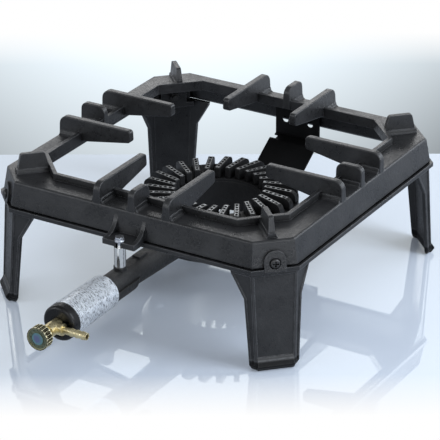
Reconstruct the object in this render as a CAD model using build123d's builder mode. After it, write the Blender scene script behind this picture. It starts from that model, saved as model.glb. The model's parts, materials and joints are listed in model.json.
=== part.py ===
from build123d import *
import math
import os

# Cast-iron gas stock pot range with one ring burner. Millimetres, +Z up.
# The origin is on the floor under the centre of the frame. The gas valve points to -Y.

# ---------------------------------------------------------------- shared values
ROOT_HALF = math.sqrt(0.5)          # cosine of 45 degrees
THREAD_FIT = 0.05                   # radial play of a thread, drawn as a plain cylinder
RUN_FIT = 0.05                      # radial play of a turning or sliding fit
HOLE_PLAY = 0.35                    # radial play of a screw in a plain hole
SIDES = (0, 90, 180, 270)           # directions of the four frame sides, degrees
CORNERS = (45, 135, 225, 315)       # directions of the four frame corners, degrees
FRONT = 270                         # direction of the valve side, degrees
REAR = 90
RUN_OUT = 20.0                      # length of a cut that only has to leave the piece

# ---------------------------------------------------------------- frame casting
FRAME_HALF = 200.0                  # half width across the flats at the plate top
FRAME_CUT = 35.0                    # length cut from each side at a corner
PLATE_Z = 160.0                     # top of the plate
PLATE_T = 5.0
PLATE_EDGE_R = 3.0
SKIRT_Z = 122.4                     # foot of the skirt
SKIRT_WALL = 4.5
SKIRT_BEVEL = 3.0                   # inner bevel of the foot
SKIRT_SLOPE = 0.1687                # outward run for each mm of drop
BAND_TOP_Z = 127.6
BAND_PROUD = 2.5
GROOVE_W = 1.6
GROOVE_DEPTH = 2.0
OPENING_HALF = 167.0                # half width of the opening across the flats
OPENING_CORNER = 125.5              # corner of the opening along a side
LIP_T = 5.0
LIP_Z = 168.0                       # top of the lip round the opening
POT_Z = 184.5                       # plane the pot stands on

DRAFT_SLOPE = 0.06                  # growth of each cheek of a rib or lug per mm of drop
ROOT_FLARE = ((4.5, -0.3), (1.6, 1.5), (0.4, 5.5))   # run past a cheek, height over the plate
RIB_OFFSET = 48.0                   # ribs lie this far from the centre lines
RIB_T = 8.2                         # at the top
RIB_TIP = 96.0                      # distance of a rib tip from the centre
RIB_TIP_Z = 168.9
RIB_ROOT_Z = 156.4                  # underside of a rib where it meets the lip
RIB_END_R = 11.0
RIB_TIP_R = 4.0
RIB_EDGE_R = 1.2
SIDE_LUG_T = 7.6                    # at the top
SIDE_LUG_IN = 165.0
SIDE_LUG_END_R = 8.0
SIDE_LUG_IN_R = 10.0
CORNER_LUG_T = 5.6                  # at the top
CORNER_LUG_BASE = (209.0, 252.0)    # inner and outer end on the diagonal, at the plate
CORNER_LUG_TOP = (216.5, 246.0)
CORNER_LUG_R = 3.5
CORNER_FLARE = 0.67                 # size of its root flare beside that of a rib

EAR_R = 13.0                        # half width and arch radius of a screw ear
EAR_PROUD = 3.2
LEG_SCREW_Z = 134.0
EAR_ARCH_UP = 2.0                   # arch centre above the screw
EAR_SEAT_D = 264.6                  # flat under the screw head, from the centre
EAR_SEAT_R = 7.0
TONGUE_FACE_D = 254.0               # face inside the corner that a leg bears on
TONGUE_PAD_HALF = 23.0
PAD_BITE = 1.5                      # depth a pad reaches into the skirt's wall

SHELF_HALF = 22.0
SHELF_FRONT = 228.0
SHELF_Z = (125.0, 132.0)
GUSSET_T = 5.0
GUSSET_TOP_Z = 154.0
GUSSET_MID = (208.0, 139.5)         # point on the hollow edge of a gusset
BOLT_Y = -224.5                     # front bolt, spacer and slot

BRACKET_PAD_Y = 197.0               # inner face of the pad on the rear skirt
BRACKET_PAD_HALF = 11.0
BRACKET_PAD_TOP = 147.0
BRACKET_BOLT_Z = 135.0
BRACKET_SEAT_Y = 203.2              # flat under the bolt head on the rear skirt

# ---------------------------------------------------------------- fasteners
M6_R = 3.0
M6_HOLE_R = M6_R + HOLE_PLAY
M6_HEX_AF = 10.0
M6_NUT_T = 5.0
M6_HEAD_T = 4.0
M6_FACE_T = 0.5                     # round face under a plain hex head
M6_END = 1.5                        # length of a bolt past its nut
LEG_HEAD_R = 5.9
LEG_HEAD_T = 3.8
LEG_HEAD_EDGE_R = 2.4
LEG_SLOT_W = 2.0                    # one bar of the cross in a screw head
LEG_SLOT_L = 7.6
LEG_SLOT_DEPTH = 2.0
LEG_SCREW_L = 26.0
BRACKET_BOLT_L = 17.0
WASHER_R = 6.25
WASHER_T = 1.6
M5_R = 2.5
M5_HEAD_R = 4.75
M5_HEAD_T = 3.0
M5_SLOT_W = 1.5

# ---------------------------------------------------------------- legs
LEG_FOOT_D = 270.3                  # outer panel on the diagonal, at the floor
LEG_TOP_D = 262.3                   # the same under the frame
LEG_FOOT_HALF = 23.3                # half width of the panel at the floor
LEG_TOP_HALF = 26.8
LEG_T = 5.0
LEG_WING = ((0.0, 9.3), (88.0, 12.3), (117.6, 28.5), (122.4, 29.3))   # height and wing length
LEG_SINK = 1.1                      # depth of the sunk fields
LEG_TINY = 0.01                     # depth of the fields where they run out
LEG_RIM = 3.2                       # rim left along the free edge of a wing
LEG_FOLD = 2.4                      # strip left along the fold
LEG_BAND_Z = 6.8                    # top of the band round the foot
LEG_SOLE_Z = 5.0                    # the outline draws in below this height
LEG_SOLE_IN = 2.6
LEG_CORNER_R = 3.5                  # rounding of a wing's lower corner
LEG_TOE = ((16.0, 0.0), (12.0, 1.0), (9.0, 2.8), (6.8, 4.4), (4.6, 4.4), (0.0, 0.2))
LEG_TOE_IN_D = 266.0                # the toe grows out of the panel from here
SHOULDER_T = 6.0
TONGUE_T = 6.0
TONGUE_HALF = 17.0
TONGUE_TOP_Z = 150.0
TONGUE_R = 8.0

# ---------------------------------------------------------------- burner
BOWL_R = 98.0
BORE_R = 52.0
BOWL_WALL = 5.0
BOWL_FOOT_Z = 51.0
BOWL_FOOT_R = 90.0                  # lowest ring of the bowl
BOWL_BORE_Z = 57.0                  # foot of the inner wall
BOWL_SIDE_Z = 61.0
HEAD_Z = 96.0                       # joint between bowl and head
HEAD_PLATE_T = 3.5
RIDGE_Z = 113.5
RIDGE_COUNT = 27
RIDGE_T = 7.0
RIDGE_SWIRL = 23.0                  # distance of a ridge's line from the centre
RIDGE_FIRST = -20.6                 # direction of the first ridge, degrees
RIDGE_RUN = (50.0, 94.0)            # start and end of a ridge along its line
RIDGE_END_R = 9.0
RIDGE_HEEL_R = 1.5
DUCT_T = 3.4
DUCT_RUN = (53.5, 85.0)
DUCT_TOP_Z = 110.3
PORT_L = 4.2                        # a gas port, along the ridge and across it
PORT_W = 3.0
PORT_COUNT = 5
PORT_RUN = (56.0, 82.5)
HEAD_SCREW_RING = 75.0
HEAD_SCREW_AT = (90, 210, 330)
HEAD_BOSS_R = 6.5
HEAD_BOSS_Z = 90.0
HEAD_SEAT_Z = 56.0
HEAD_SCREW_TOP = 97.5

TUBE_Z = 81.0                       # axis of the mixing tube and of the valve
TUBE_R = 15.8
TUBE_BORE_R = 12.5
TUBE_START_Y = -94.0
TUBE_REAR_Z = 78.5                  # centre and radius of the tube where it meets the bowl
TUBE_REAR_R = 18.0
TUBE_FLARE_Y = -206.0               # the tube widens from here to the bowl
COLLAR_R = 18.7                     # thicker lower half of the tube behind the sleeve
COLLAR_Y = (-213.0, -206.0)         # cone from the collar down to the tube
COLLAR_TOP_Z = 82.0
COLLAR_SINK = 0.4                   # the cone ends this far under the tube's skin
SLEEVE_Y = (-341.0, -260.0)
SLEEVE_R = (22.0, 20.9)             # front and back
SLEEVE_T = 0.35
MOUTH_R = 17.0
MOUTH_CONE_Y = (-300.0, -250.0)
SPIGOT_R = 19.0
SPIGOT_END_Y = -350.5
END_PLATE_T = 3.5
BOLT_BOSS_R = 8.0
BOLT_BOSS_Z = 99.5
TUBE_PAD_AT = (1.0, -184.0)
TUBE_PAD_W = 11.0
TUBE_PAD_L = 16.0
TUBE_PAD_Z = 98.5
BURNER_EAR_Y = 117.0
BURNER_EAR_HALF = 14.0
BURNER_EAR_END = 128.0
BURNER_EAR_Z = (57.0, 65.0)

# ---------------------------------------------------------------- air shutter
SHUTTER_BACK_Y = -341.5
SHUTTER_FRONT_Y = -354.0
SHUTTER_PLATE_T = 3.0
SHUTTER_R = 21.8
SHUTTER_EDGE_R = 4.5
WINDOW_IN_R = 9.6
WINDOW_OUT_R = 16.0
WINDOW_ANGLE = 56.0
WINDOW_AT = (0, -90)                # seen from the front, degrees from +X

# ---------------------------------------------------------------- valve
HUB_R = 7.0
STEM_R = 5.0
BARREL_R = 8.2
BARREL_Y = (-376.0, -354.3)
STEM_END_Y = -341.5
NIPPLE_Y = -362.5
SIDE_BOSS_R = 7.0
SIDE_BOSS_X = 10.0
SPINDLE_R = 3.0
GLAND_BORE_R = 5.0
GLAND_BORE_END_Y = -366.0
SEAT_Y = -358.0
SEAT_R = 1.4
GAS_BORE_R = 2.4
INJECTOR_AF = 15.0
INJECTOR_HEX_Y = -339.5
INJECTOR_TIP_Y = -333.0
INJECTOR_NOSE_R = (4.5, 2.25)       # root and tip
INJECTOR_JET_R = 0.6
NIPPLE_BORE_R = 2.65
NIPPLE_THREAD_X = 5.6
NIPPLE_FLANGE_R = 7.2
NIPPLE_FLANGE_X = 13.0
NIPPLE_TIP_X = 45.0
NIPPLE_R = 4.3
BARB_R = 5.1
BARB_X = (24.0, 31.5, 39.0)         # crest of each barb
BARB_L = 5.0
GLAND_AF = 12.0
GLAND_HEX_Y = -381.0
GLAND_THREAD_Y = -370.0
PACKING_Y = (-369.9, -366.1)

KNOB_R = 14.0
KNOB_Y = (-396.0, -385.0)
KNOB_HUB_R = 6.5
KNOB_HUB_Y = -383.6
KNURL_COUNT = 40
KNURL_DEPTH = 0.9
KNOB_RIM_T = 1.4
KNOB_FACE_DEPTH = 1.2
KNOB_FACE_R = 12.4
MARK_COUNT = 12
MARK_RING = 10.2
MARK_R = 0.8
DISC_R = 7.4
DISC_T = 1.6
DISC_COLLAR_T = 1.0
DISC_FRONT_Y = -395.6
KNOB_SCREW_R = 1.5
KNOB_SCREW_HEAD_R = 2.8
KNOB_SCREW_HEAD_T = 1.3
KNOB_SCREW_L = 7.0
SPINDLE_END_Y = -391.5
SPINDLE_TIP_Y = -358.6

# ---------------------------------------------------------------- front bolt, rear bracket
FRONT_BOLT_END_Z = 94.4
FLANGE_R = 6.4
FLANGE_T = 1.4
FRONT_HEAD_T = 5.6
SPACER_R = 7.0
STRAP_T = 2.0
STRAP_HALF = 32.0
STRAP_TOP_Z = 144.0
STRAP_BEND_Z = 104.0
STRAP_WING_HALF = 34.0
STRAP_HOLE_R = 4.5
STRAP_HOLE_X = 18.0
STRAP_HOLE_Z = 127.0
STRAP_KNEE = (182.0, 100.5)         # y, z of the lower faces at the bends
STRAP_TOE_Y = 127.0
STRAP_END_Y = 106.0
STRAP_NARROW_Y = 152.0              # the wing narrows from here to its end
STRAP_END_HALF = 15.0
STRAP_RELIEF_Y = (183.5, 192.0)
STRAP_RELIEF_IN = 8.0               # depth of a relief cut from the edge of the wing


# ---------------------------------------------------------------- helpers
def skirt_run(z):
    """Outward run of the skirt's face at a height, counted from the plate top."""
    return (PLATE_Z - z) * SKIRT_SLOPE


def wall_inside(reach, z):
    """Distance of the skirt's inner face at a height, on a side or on a diagonal."""
    return reach + skirt_run(z) - SKIRT_WALL


FRAME_DIAG = (2 * FRAME_HALF - FRAME_CUT) * ROOT_HALF
OPENING_DIAG = (OPENING_HALF + OPENING_CORNER) * ROOT_HALF
SKIRT_TAPER = math.degrees(math.atan(SKIRT_SLOPE))


def cut_square(half, diag):
    """Outline of a square with cut corners: half width and reach on the diagonal."""
    reach = diag / ROOT_HALF - half
    corners = []
    for sx, sy in ((1, 1), (-1, 1), (-1, -1), (1, -1)):
        first = (sx * half, sy * reach)
        second = (sx * reach, sy * half)
        corners += [first, second] if sx * sy > 0 else [second, first]
    return Polygon(*corners, align=None)


def out_dir(angle):
    """Unit vector that points away from the centre."""
    return Vector(math.cos(math.radians(angle)), math.sin(math.radians(angle)), 0)


def side_dir(angle):
    """Unit vector that lies along a side."""
    return Vector(-math.sin(math.radians(angle)), math.cos(math.radians(angle)), 0)


def profile_plane(angle, offset=0.0):
    """Upright plane through the centre axis: x runs outward and y runs up."""
    return Plane(origin=side_dir(angle) * offset, x_dir=out_dir(angle), z_dir=-side_dir(angle))


def facing_plane(angle, distance, z=0.0):
    """Upright plane that faces outward at a distance: y runs up."""
    origin = out_dir(angle) * distance + Vector(0, 0, z)
    return Plane(origin=origin, x_dir=side_dir(angle), z_dir=out_dir(angle))


def across_plane(y):
    """Plane across the valve axis, facing the front: its y runs up."""
    return Plane(origin=(0, y, TUBE_Z), x_dir=(1, 0, 0), z_dir=(0, -1, 0))


def branch_plane(x):
    """Plane across the hose nipple's axis, facing +X."""
    return Plane(origin=(x, NIPPLE_Y, TUBE_Z), x_dir=(0, 1, 0), z_dir=(1, 0, 0))


# ---------------------------------------------------------------- ribs and lugs
FLARE_END = FRAME_HALF - PLATE_EDGE_R / 2   # just short of the plate's rounded edge


def cheek(top_t, z):
    """Half thickness of a rib or lug at a height."""
    return top_t / 2 + (POT_Z - z) * DRAFT_SLOPE


def draft_section(top_t):
    """Section across a rib or lug, thicker toward its root."""
    top, root = cheek(top_t, POT_Z), cheek(top_t, RIB_ROOT_Z)
    return Polygon((-root, RIB_ROOT_Z), (root, RIB_ROOT_Z), (top, POT_Z), (-top, POT_Z), align=None)


def flare_section(top_t, share):
    """Section across the flare where a rib or lug grows out of the plate."""
    half = cheek(top_t, PLATE_Z)
    right = [(half + run * share, PLATE_Z + rise) for run, rise in ROOT_FLARE]
    right.insert(0, (right[0][0], PLATE_Z - PLATE_EDGE_R))
    left = [(-y, z) for y, z in reversed(right)]
    return Polygon(*right, *left, align=None)


with BuildPart() as pot_rib:
    with BuildSketch(Plane.XZ):
        Polygon(
            (FRAME_HALF, RIB_ROOT_Z),
            (FRAME_HALF, POT_Z),
            (RIB_TIP, POT_Z),
            (RIB_TIP, RIB_TIP_Z),
            (OPENING_HALF, RIB_ROOT_Z),
            align=None,
        )
    extrude(amount=RIB_T, both=True)
    across = pot_rib.edges().filter_by(Axis.Y)
    fillet(across.filter_by_position(Axis.Z, POT_Z, POT_Z).sort_by(Axis.X)[-1], RIB_END_R)
    across = pot_rib.edges().filter_by(Axis.Y)
    fillet(across.filter_by_position(Axis.X, RIB_TIP, RIB_TIP), RIB_TIP_R)
    with BuildSketch(Plane.YZ):
        draft_section(RIB_T)
    extrude(amount=FRAME_HALF, mode=Mode.INTERSECT)
    fillet(pot_rib.edges().filter_by_position(Axis.Z, POT_Z, POT_Z).filter_by(Axis.X), RIB_EDGE_R)
    with BuildSketch(Plane.YZ.offset(OPENING_HALF + LIP_T / 2)):
        flare_section(RIB_T, 1.0)
    extrude(amount=FLARE_END - OPENING_HALF - LIP_T / 2)

with BuildPart() as side_lug:
    with BuildSketch(Plane.XZ):
        Polygon(
            (FRAME_HALF, RIB_ROOT_Z),
            (FRAME_HALF, POT_Z),
            (SIDE_LUG_IN, POT_Z),
            (SIDE_LUG_IN, RIB_ROOT_Z),
            align=None,
        )
    extrude(amount=SIDE_LUG_T, both=True)
    top_ends = side_lug.edges().filter_by(Axis.Y).filter_by_position(Axis.Z, POT_Z, POT_Z)
    fillet(top_ends.sort_by(Axis.X)[-1], SIDE_LUG_END_R)
    top_ends = side_lug.edges().filter_by(Axis.Y).filter_by_position(Axis.Z, POT_Z, POT_Z)
    fillet(top_ends.sort_by(Axis.X)[0], SIDE_LUG_IN_R)
    with BuildSketch(Plane.YZ):
        draft_section(SIDE_LUG_T)
    extrude(amount=FRAME_HALF, mode=Mode.INTERSECT)
    fillet(side_lug.edges().filter_by_position(Axis.Z, POT_Z, POT_Z).filter_by(Axis.X), RIB_EDGE_R)
    with BuildSketch(Plane.YZ.offset(OPENING_HALF + LIP_T / 2)):
        flare_section(SIDE_LUG_T, 1.0)
    extrude(amount=FLARE_END - OPENING_HALF - LIP_T / 2)

with BuildPart() as corner_lug:
    with BuildSketch(Plane.XZ):
        Polygon(
            (CORNER_LUG_BASE[1], RIB_ROOT_Z),
            (CORNER_LUG_TOP[1], POT_Z),
            (CORNER_LUG_TOP[0], POT_Z),
            (CORNER_LUG_BASE[0], RIB_ROOT_Z),
            align=None,
        )
    extrude(amount=CORNER_LUG_T, both=True)
    top_ends = corner_lug.edges().filter_by(Axis.Y).filter_by_position(Axis.Z, POT_Z, POT_Z)
    fillet(top_ends, CORNER_LUG_R)
    with BuildSketch(Plane.YZ):
        draft_section(CORNER_LUG_T)
    extrude(amount=CORNER_LUG_BASE[1], mode=Mode.INTERSECT)
    with BuildSketch(Plane.YZ.offset(CORNER_LUG_BASE[0])):
        flare_section(CORNER_LUG_T, CORNER_FLARE)
    extrude(amount=CORNER_LUG_BASE[1] - CORNER_LUG_BASE[0])

# ---------------------------------------------------------------- frame
SKIRT_FOOT_HALF = FRAME_HALF + skirt_run(SKIRT_Z)
SKIRT_FOOT_DIAG = FRAME_DIAG + skirt_run(SKIRT_Z)
GROOVE_RUN = skirt_run(BAND_TOP_Z)

with BuildPart() as top_frame:
    with BuildSketch(Plane.XY.offset(SKIRT_Z)):
        cut_square(SKIRT_FOOT_HALF, SKIRT_FOOT_DIAG)
    extrude(amount=PLATE_Z - SKIRT_Z, taper=SKIRT_TAPER)
    fillet(top_frame.faces().sort_by(Axis.Z)[-1].outer_wire().edges(), PLATE_EDGE_R)
    # the bead round the foot of the skirt
    with BuildSketch(Plane.XY.offset(SKIRT_Z)):
        cut_square(SKIRT_FOOT_HALF + BAND_PROUD, SKIRT_FOOT_DIAG + BAND_PROUD)
    extrude(amount=BAND_TOP_Z - SKIRT_Z)
    # the groove above the bead
    with BuildSketch(Plane.XY.offset(BAND_TOP_Z)):
        cut_square(SKIRT_FOOT_HALF + BAND_PROUD, SKIRT_FOOT_DIAG + BAND_PROUD)
        groove_half = FRAME_HALF + GROOVE_RUN - GROOVE_DEPTH
        groove_diag = FRAME_DIAG + GROOVE_RUN - GROOVE_DEPTH
        add(cut_square(groove_half, groove_diag), mode=Mode.SUBTRACT)
    extrude(amount=GROOVE_W, mode=Mode.SUBTRACT)
    # arched ears that carry the leg screws
    for corner in CORNERS:
        slope = math.radians(SKIRT_TAPER)
        normal = out_dir(corner) * math.cos(slope) + Vector(0, 0, math.sin(slope))
        foot = out_dir(corner) * (FRAME_DIAG + skirt_run(LEG_SCREW_Z)) + Vector(0, 0, LEG_SCREW_Z)
        ear_plane = Plane(origin=foot + normal * EAR_PROUD, x_dir=side_dir(corner), z_dir=normal)
        with BuildSketch(ear_plane):
            with Locations((0, EAR_ARCH_UP)):
                Circle(EAR_R)
                Rectangle(2 * EAR_R, EAR_R, align=(Align.CENTER, Align.MAX))
        extrude(amount=-(EAR_PROUD + SKIRT_WALL / 2))
    # hollow under the plate
    with BuildSketch(Plane.XY.offset(SKIRT_Z)):
        cut_square(SKIRT_FOOT_HALF - SKIRT_WALL, SKIRT_FOOT_DIAG - SKIRT_WALL)
    extrude(amount=PLATE_Z - PLATE_T - SKIRT_Z, taper=SKIRT_TAPER, mode=Mode.SUBTRACT)
    with BuildSketch(Plane.XY.offset(SKIRT_Z)):
        bevel_in = SKIRT_WALL - SKIRT_BEVEL
        cut_square(SKIRT_FOOT_HALF - bevel_in, SKIRT_FOOT_DIAG - bevel_in)
    extrude(amount=SKIRT_BEVEL, taper=45, mode=Mode.SUBTRACT)
    # lip round the opening
    with BuildSketch(Plane.XY.offset(PLATE_Z - PLATE_T)):
        cut_square(OPENING_HALF + LIP_T, OPENING_DIAG + LIP_T)
    extrude(amount=LIP_Z - PLATE_Z + PLATE_T)
    with BuildSketch(Plane.XY.offset(PLATE_Z - PLATE_T)):
        cut_square(OPENING_HALF, OPENING_DIAG)
    extrude(amount=LIP_Z - PLATE_Z + PLATE_T, mode=Mode.SUBTRACT)
    # pot ribs and lugs
    for side in SIDES:
        for shift in (-RIB_OFFSET, RIB_OFFSET):
            with Locations(Location(side_dir(side) * shift, (0, 0, side))):
                add(pot_rib.part)
        with Locations(Location((0, 0, 0), (0, 0, side))):
            add(side_lug.part)
    for corner in CORNERS:
        with Locations(Location((0, 0, 0), (0, 0, corner))):
            add(corner_lug.part)
        # pad that the tongue of a leg bears on
        with BuildSketch(profile_plane(corner)):
            Polygon(
                (TONGUE_FACE_D, SKIRT_Z),
                (wall_inside(FRAME_DIAG, SKIRT_Z) + PAD_BITE, SKIRT_Z),
                (wall_inside(FRAME_DIAG, PLATE_Z) + PAD_BITE, PLATE_Z - PLATE_T),
                (TONGUE_FACE_D, PLATE_Z - PLATE_T),
                align=None,
            )
        extrude(amount=TONGUE_PAD_HALF, both=True)
        # leg screw hole and its seat
        with BuildSketch(facing_plane(corner, TONGUE_FACE_D, LEG_SCREW_Z)):
            Circle(M6_HOLE_R)
        extrude(amount=EAR_SEAT_D - TONGUE_FACE_D, mode=Mode.SUBTRACT)
        with BuildSketch(facing_plane(corner, EAR_SEAT_D, LEG_SCREW_Z)):
            Circle(EAR_SEAT_R)
        extrude(amount=RUN_OUT, mode=Mode.SUBTRACT)
    # shelf and gussets for the burner's front bolt
    with BuildSketch(Plane.XY.offset(SHELF_Z[0])):
        with Locations((0, -FRAME_HALF)):
            Rectangle(2 * SHELF_HALF, SHELF_FRONT - FRAME_HALF, align=(Align.CENTER, Align.MAX))
    extrude(amount=SHELF_Z[1] - SHELF_Z[0])
    for shift in (-SHELF_HALF, SHELF_HALF - GUSSET_T):
        with BuildSketch(profile_plane(FRONT, shift)):
            with BuildLine():
                foot_in = (FRAME_HALF, SHELF_Z[1])
                foot_out = (SHELF_FRONT, SHELF_Z[1])
                head_out = (FRAME_HALF + skirt_run(GUSSET_TOP_Z), GUSSET_TOP_Z)
                head_in = (FRAME_HALF, GUSSET_TOP_Z)
                Polyline(head_out, head_in, foot_in, foot_out)
                ThreePointArc(foot_out, GUSSET_MID, head_out)
            make_face()
        extrude(amount=-GUSSET_T)
    with BuildSketch(Plane.XY.offset(SHELF_Z[0])):
        with Locations((0, BOLT_Y)):
            Circle(M6_HOLE_R)
            Rectangle(2 * M6_HOLE_R, RUN_OUT, align=(Align.CENTER, Align.MAX))
    extrude(amount=SHELF_Z[1] - SHELF_Z[0], mode=Mode.SUBTRACT)
    # pad, hole and seat for the rear bracket
    with BuildSketch(profile_plane(REAR)):
        Polygon(
            (BRACKET_PAD_Y, SKIRT_Z),
            (wall_inside(FRAME_HALF, SKIRT_Z) + PAD_BITE, SKIRT_Z),
            (wall_inside(FRAME_HALF, BRACKET_PAD_TOP) + PAD_BITE, BRACKET_PAD_TOP),
            (BRACKET_PAD_Y, BRACKET_PAD_TOP),
            align=None,
        )
    extrude(amount=BRACKET_PAD_HALF, both=True)
    with BuildSketch(facing_plane(REAR, BRACKET_PAD_Y, BRACKET_BOLT_Z)):
        Circle(M6_HOLE_R)
    extrude(amount=SKIRT_FOOT_HALF - BRACKET_PAD_Y, mode=Mode.SUBTRACT)
    with BuildSketch(facing_plane(REAR, BRACKET_SEAT_Y, BRACKET_BOLT_Z)):
        Circle(EAR_SEAT_R)
    extrude(amount=RUN_OUT, mode=Mode.SUBTRACT)

# ---------------------------------------------------------------- legs
def between(foot, top, z):
    """Value at a height, from its values at the floor and at the foot of the skirt."""
    return foot + (top - foot) * z / SKIRT_Z


def wing_length(z):
    """Length of a wing at a height."""
    for (low, short), (high, long) in zip(LEG_WING, LEG_WING[1:]):
        if z <= high:
            break
    return short + (long - short) * (z - low) / (high - low)


def leg_section(z, sink, inset=0.0):
    """Section of the folded leg: panel across the diagonal with a wing each side."""
    turn = math.tan(math.radians(22.5))
    reach = between(LEG_FOOT_D, LEG_TOP_D, z) - inset
    half = between(LEG_FOOT_HALF, LEG_TOP_HALF, z) - inset * turn
    length = wing_length(z) - inset
    thick = LEG_T - inset

    def on_wing(along, deep):
        """Point on a wing, from its length past the fold and its depth below the face."""
        return (reach - (along + deep) * ROOT_HALF, half + (along - deep) * ROOT_HALF)

    upper = [
        (reach - sink, half - LEG_FOLD),
        (reach, half - LEG_FOLD),
        (reach, half),
        on_wing(LEG_FOLD, 0),
        on_wing(LEG_FOLD, sink),
        on_wing(length - LEG_RIM, sink),
        on_wing(length - LEG_RIM, 0),
        on_wing(length, 0),
        on_wing(length, thick),
        (reach - thick, half - thick * turn),
    ]
    lower = [(x, -y) for x, y in reversed(upper)]
    return Polygon(*(upper + lower), align=None)


def make_leg(corner):
    """One leg, drawn toward +X and turned to its corner."""
    flare_z, bead_z = LEG_WING[1][0], LEG_WING[2][0]
    layers = (
        (0.0, LEG_SOLE_Z, LEG_TINY, LEG_SOLE_IN),
        (LEG_SOLE_Z, LEG_BAND_Z, LEG_TINY, 0.0),
        (LEG_BAND_Z, flare_z, LEG_SINK, 0.0),
        (flare_z, bead_z, LEG_SINK, 0.0),
        (bead_z, SKIRT_Z, LEG_TINY, 0.0),
    )
    with BuildPart() as leg:
        for low, high, sink, inset in layers:
            with BuildSketch(Plane.XY.offset(low)):
                add(leg_section(low, sink, inset))
            with BuildSketch(Plane.XY.offset(high)):
                add(leg_section(high, sink))
            loft(ruled=True)
        foot_ends = leg.faces().sort_by(Axis.Z)[0].edges().sort_by(Axis.X)
        fillet(foot_ends[:2], LEG_CORNER_R)
        # outward toe
        toe_line = [(between(LEG_FOOT_D, LEG_TOP_D, z) + run, z) for z, run in LEG_TOE]
        toe_top = LEG_TOE[0][0]
        with BuildSketch(Plane.XZ):
            Polygon((LEG_TOE_IN_D, toe_top), *toe_line, (LEG_TOE_IN_D, 0), align=None)
        extrude(amount=LEG_FOOT_HALF - LEG_SOLE_IN / 2, both=True)
        # shoulder under the frame and the tongue inside it
        tongue_in = TONGUE_FACE_D - TONGUE_T
        with BuildSketch(Plane.XY.offset(SKIRT_Z - SHOULDER_T)):
            with Locations((tongue_in, 0)):
                shoulder_l = LEG_TOP_D - LEG_T / 2 - tongue_in
                Rectangle(shoulder_l, 2 * LEG_TOP_HALF, align=(Align.MIN, Align.CENTER))
        extrude(amount=SHOULDER_T)
        with BuildSketch(Plane(origin=(tongue_in, 0, 0), x_dir=(0, 1, 0), z_dir=(1, 0, 0))):
            with Locations((0, SKIRT_Z - SHOULDER_T)):
                tongue_h = TONGUE_TOP_Z - SKIRT_Z + SHOULDER_T
                Rectangle(2 * TONGUE_HALF, tongue_h, align=(Align.CENTER, Align.MIN))
        extrude(amount=TONGUE_T)
        crown = leg.edges().filter_by(Axis.X).filter_by_position(Axis.Z, TONGUE_TOP_Z, TONGUE_TOP_Z)
        fillet(crown, TONGUE_R)
        with BuildSketch(Plane(origin=(tongue_in, 0, LEG_SCREW_Z), x_dir=(0, 1, 0), z_dir=(1, 0, 0))):
            Circle(M6_HOLE_R)
        extrude(amount=TONGUE_T, mode=Mode.SUBTRACT)
    return leg.part.rotate(Axis.Z, corner)


leg_rear_right = make_leg(CORNERS[0])
leg_rear_left = make_leg(CORNERS[1])
leg_front_left = make_leg(CORNERS[2])
leg_front_right = make_leg(CORNERS[3])


# ---------------------------------------------------------------- fastener shapes
def hex_bolt(length, head_t, flange_r, flange_t):
    """M6 bolt that hangs below its seat at z = 0."""
    with BuildPart() as bolt:
        with BuildSketch():
            Circle(M6_R)
        extrude(amount=-length)
        with BuildSketch():
            Circle(flange_r)
        extrude(amount=flange_t)
        with BuildSketch(Plane.XY.offset(flange_t)):
            RegularPolygon(M6_HEX_AF / 2, 6, major_radius=False)
        extrude(amount=head_t - flange_t)
    return bolt.part


with BuildPart() as m6_nut:
    with BuildSketch():
        RegularPolygon(M6_HEX_AF / 2, 6, major_radius=False)
        Circle(M6_R + THREAD_FIT, mode=Mode.SUBTRACT)
    extrude(amount=M6_NUT_T)

with BuildPart() as cross_screw:
    with BuildSketch():
        Circle(LEG_HEAD_R)
    extrude(amount=LEG_HEAD_T)
    fillet(cross_screw.faces().sort_by(Axis.Z)[-1].edges(), LEG_HEAD_EDGE_R)
    with BuildSketch(Plane.XY.offset(LEG_HEAD_T)):
        Rectangle(LEG_SLOT_L, LEG_SLOT_W)
        Rectangle(LEG_SLOT_W, LEG_SLOT_L)
    extrude(amount=-LEG_SLOT_DEPTH, mode=Mode.SUBTRACT)
    with BuildSketch():
        Circle(M6_R)
    extrude(amount=-LEG_SCREW_L)

with BuildPart() as leg_screws:
    for corner in CORNERS:
        with Locations(facing_plane(corner, EAR_SEAT_D, LEG_SCREW_Z).location):
            add(cross_screw.part)

with BuildPart() as leg_washers:
    for corner in CORNERS:
        with BuildSketch(facing_plane(corner, TONGUE_FACE_D - TONGUE_T, LEG_SCREW_Z)):
            Circle(WASHER_R)
            Circle(M6_HOLE_R, mode=Mode.SUBTRACT)
        extrude(amount=-WASHER_T)

with BuildPart() as leg_nuts:
    nut_d = TONGUE_FACE_D - TONGUE_T - WASHER_T - M6_NUT_T
    for corner in CORNERS:
        with Locations(facing_plane(corner, nut_d, LEG_SCREW_Z).location):
            add(m6_nut.part)

# ---------------------------------------------------------------- burner bowl and mixing tube
BOWL_IN_R = BOWL_R - BOWL_WALL
BORE_OUT_R = BORE_R + BOWL_WALL
TUBE_AXIS = Axis((0, 0, TUBE_Z), (0, 1, 0))
SLEEVE_PLAY = SLEEVE_T + RUN_FIT

with BuildSketch() as air_window:
    window_edge = WINDOW_OUT_R * math.tan(math.radians(WINDOW_ANGLE / 2))
    Circle(WINDOW_OUT_R)
    Circle(WINDOW_IN_R, mode=Mode.SUBTRACT)
    Polygon(
        (0, 0),
        (WINDOW_OUT_R, -window_edge),
        (WINDOW_OUT_R, window_edge),
        align=None,
        mode=Mode.INTERSECT,
    )

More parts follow.
